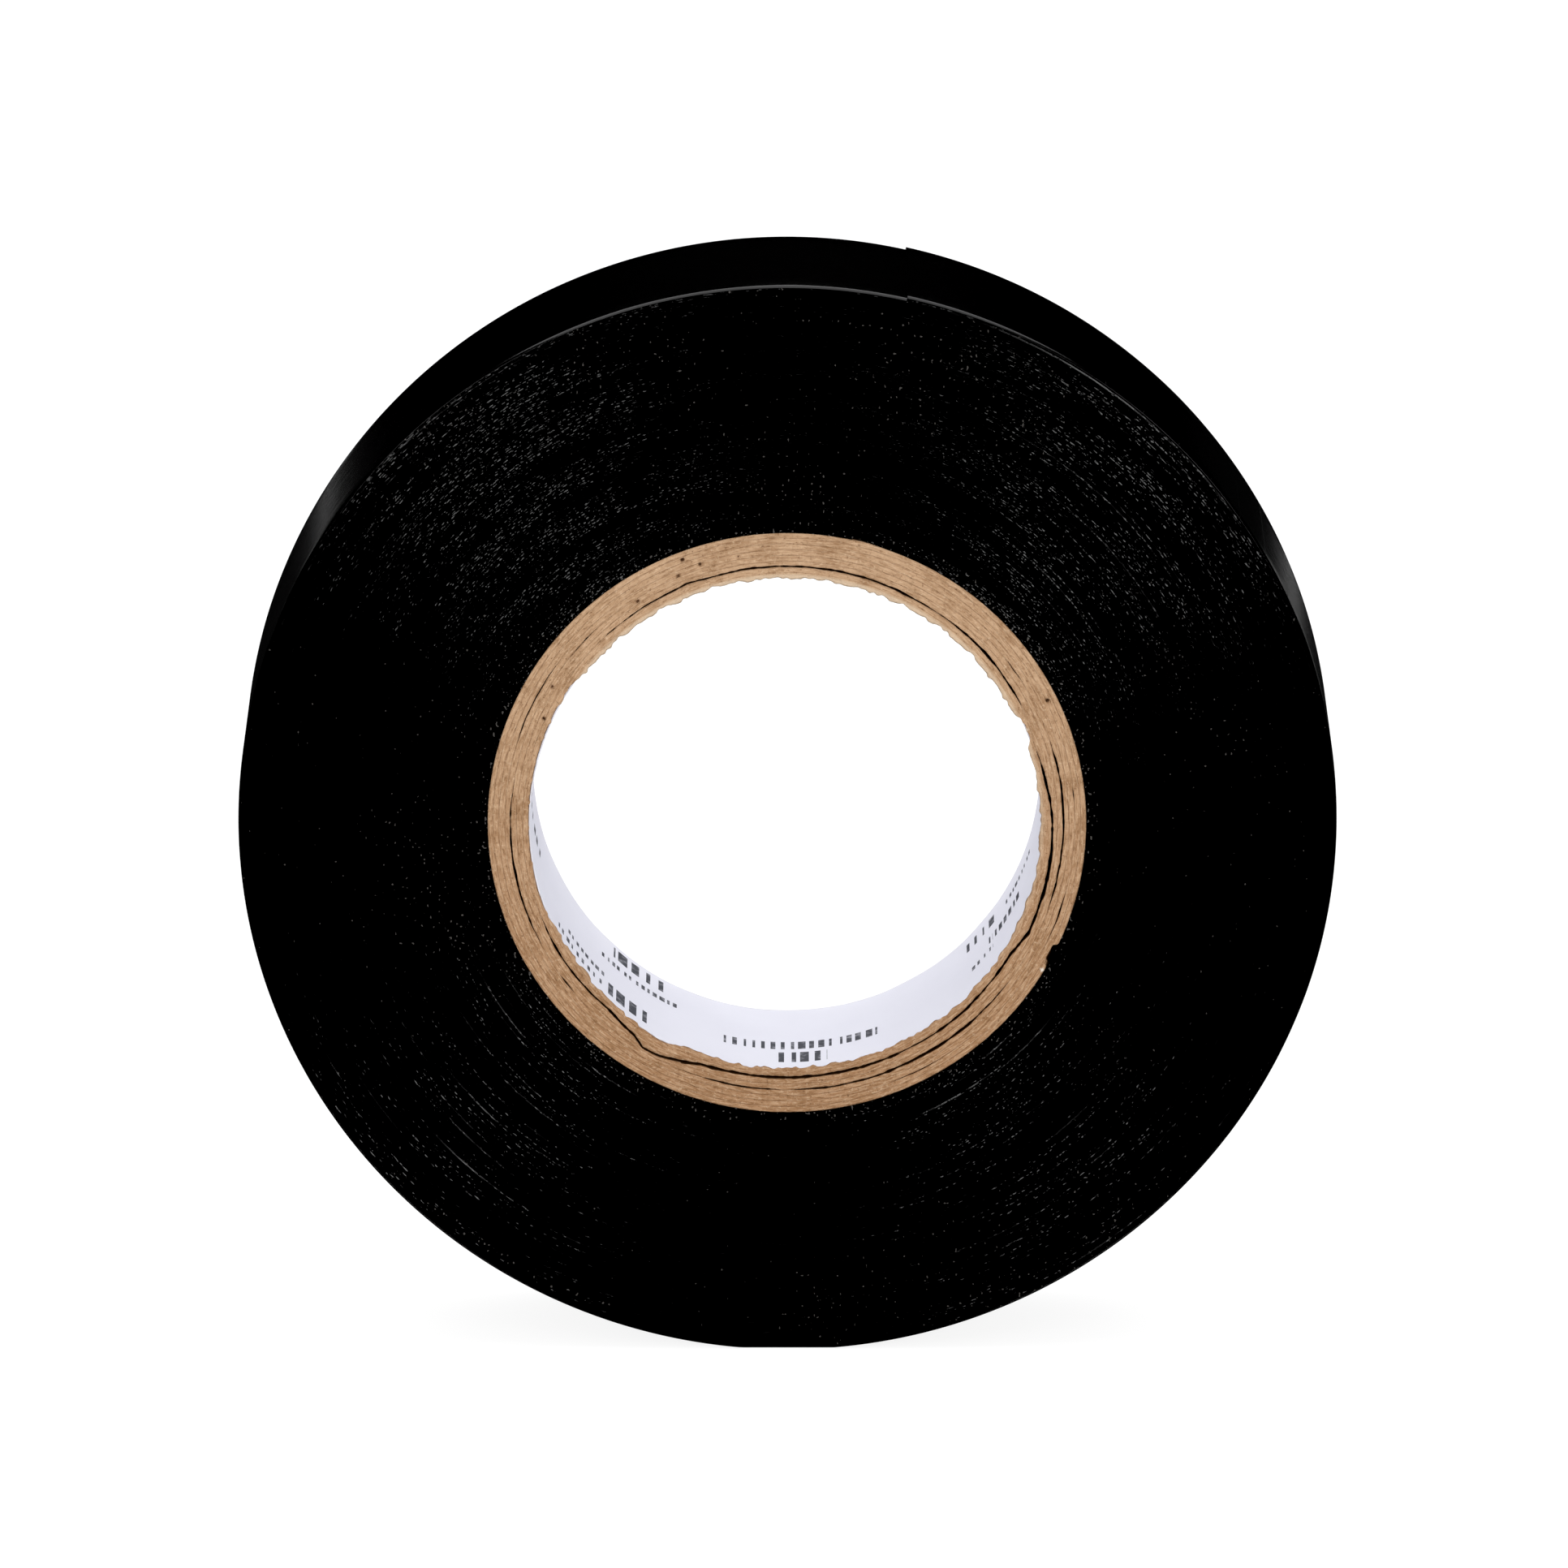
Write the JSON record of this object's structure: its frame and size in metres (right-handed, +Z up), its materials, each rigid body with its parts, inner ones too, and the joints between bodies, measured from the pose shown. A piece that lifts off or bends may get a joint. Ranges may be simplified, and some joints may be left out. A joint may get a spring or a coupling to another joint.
{
  "type": "electrical tape roll",
  "caption": "Roll of black PVC electrical tape on a layered kraft-board core with a white paper liner; the free end peels off the roll.",
  "frame": {"origin": "on the surface that the roll stands on, under the middle of the roll", "axes": "+Z up; Y along the roll's axis; the face seen first looks along -Y; the free end is just clockwise of the top, towards +X"},
  "size_m": [0.0899, 0.019, 0.0895],
  "materials": {
    "tape": "semi-gloss black PVC, matter on the wound edges",
    "board": "raw cut kraft board",
    "liner": "smooth white printed paper"
  },
  "bodies": {
    "roll": {"core_liner": "liner", "core_ply_1": "board", "core_ply_2": "board", "core_ply_3": "board", "core_ply_4": "board", "core_ply_5": "board", "core_ply_6": "board", "core_ply_7": "board", "tape_wound_pack": "tape", "tape_outer_wrap": "tape"},
    "tape_flap_1": {"tape_flap_1": "tape"},
    "tape_flap_2": {"tape_flap_2": "tape"},
    "tape_flap_3": {"tape_flap_3": "tape"},
    "tape_flap_4": {"tape_flap_4": "tape"},
    "tape_flap_5": {"tape_flap_5": "tape"},
    "tape_flap_6": {"tape_flap_6": "tape"},
    "tape_flap_7": {"tape_flap_7": "tape"},
    "tape_flap_8": {"tape_flap_8": "tape"},
    "tape_flap_9": {"tape_flap_9": "tape"},
    "tape_flap_10": {"tape_flap_10": "tape"},
    "tape_flap_11": {"tape_flap_11": "tape"},
    "tape_free_end": {"tape_free_end": "tape"}
  },
  "joints": [
    {"name": "peel_1", "type": "hinge", "parent": "roll", "child": "tape_flap_1", "pos_m": [0.04288, 0, 0.05826], "axis": [0, 1, 0], "range_deg": [0, 12]},
    {"name": "peel_2", "type": "hinge", "parent": "tape_flap_1", "child": "tape_flap_2", "pos_m": [0.04155, 0, 0.06195], "axis": [0, 1, 0], "range_deg": [0, 12]},
    {"name": "peel_3", "type": "hinge", "parent": "tape_flap_2", "child": "tape_flap_3", "pos_m": [0.03989, 0, 0.0655], "axis": [0, 1, 0], "range_deg": [0, 12]},
    {"name": "peel_4", "type": "hinge", "parent": "tape_flap_3", "child": "tape_flap_4", "pos_m": [0.03793, 0, 0.0689], "axis": [0, 1, 0], "range_deg": [0, 12]},
    {"name": "peel_5", "type": "hinge", "parent": "tape_flap_4", "child": "tape_flap_5", "pos_m": [0.03568, 0, 0.07212], "axis": [0, 1, 0], "range_deg": [0, 12]},
    {"name": "peel_6", "type": "hinge", "parent": "tape_flap_5", "child": "tape_flap_6", "pos_m": [0.03316, 0, 0.07513], "axis": [0, 1, 0], "range_deg": [0, 12]},
    {"name": "peel_7", "type": "hinge", "parent": "tape_flap_6", "child": "tape_flap_7", "pos_m": [0.03039, 0, 0.0779], "axis": [0, 1, 0], "range_deg": [0, 12]},
    {"name": "peel_8", "type": "hinge", "parent": "tape_flap_7", "child": "tape_flap_8", "pos_m": [0.02739, 0, 0.08043], "axis": [0, 1, 0], "range_deg": [0, 12]},
    {"name": "peel_9", "type": "hinge", "parent": "tape_flap_8", "child": "tape_flap_9", "pos_m": [0.02417, 0, 0.08268], "axis": [0, 1, 0], "range_deg": [0, 12]},
    {"name": "peel_10", "type": "hinge", "parent": "tape_flap_9", "child": "tape_flap_10", "pos_m": [0.02077, 0, 0.08465], "axis": [0, 1, 0], "range_deg": [0, 12]},
    {"name": "peel_11", "type": "hinge", "parent": "tape_flap_10", "child": "tape_flap_11", "pos_m": [0.01722, 0, 0.08631], "axis": [0, 1, 0], "range_deg": [0, 12]},
    {"name": "peel_12", "type": "hinge", "parent": "tape_flap_11", "child": "tape_free_end", "pos_m": [0.01353, 0, 0.08765], "axis": [0, 1, 0], "range_deg": [0, 12]}
  ],
  "couplings": [
    {"joint": "peel_2", "follows": "peel_1", "ratio": 1},
    {"joint": "peel_3", "follows": "peel_1", "ratio": 1},
    {"joint": "peel_4", "follows": "peel_1", "ratio": 1},
    {"joint": "peel_5", "follows": "peel_1", "ratio": 1},
    {"joint": "peel_6", "follows": "peel_1", "ratio": 1},
    {"joint": "peel_7", "follows": "peel_1", "ratio": 1},
    {"joint": "peel_8", "follows": "peel_1", "ratio": 1},
    {"joint": "peel_9", "follows": "peel_1", "ratio": 1},
    {"joint": "peel_10", "follows": "peel_1", "ratio": 1},
    {"joint": "peel_11", "follows": "peel_1", "ratio": 1},
    {"joint": "peel_12", "follows": "peel_1", "ratio": 1}
  ]
}
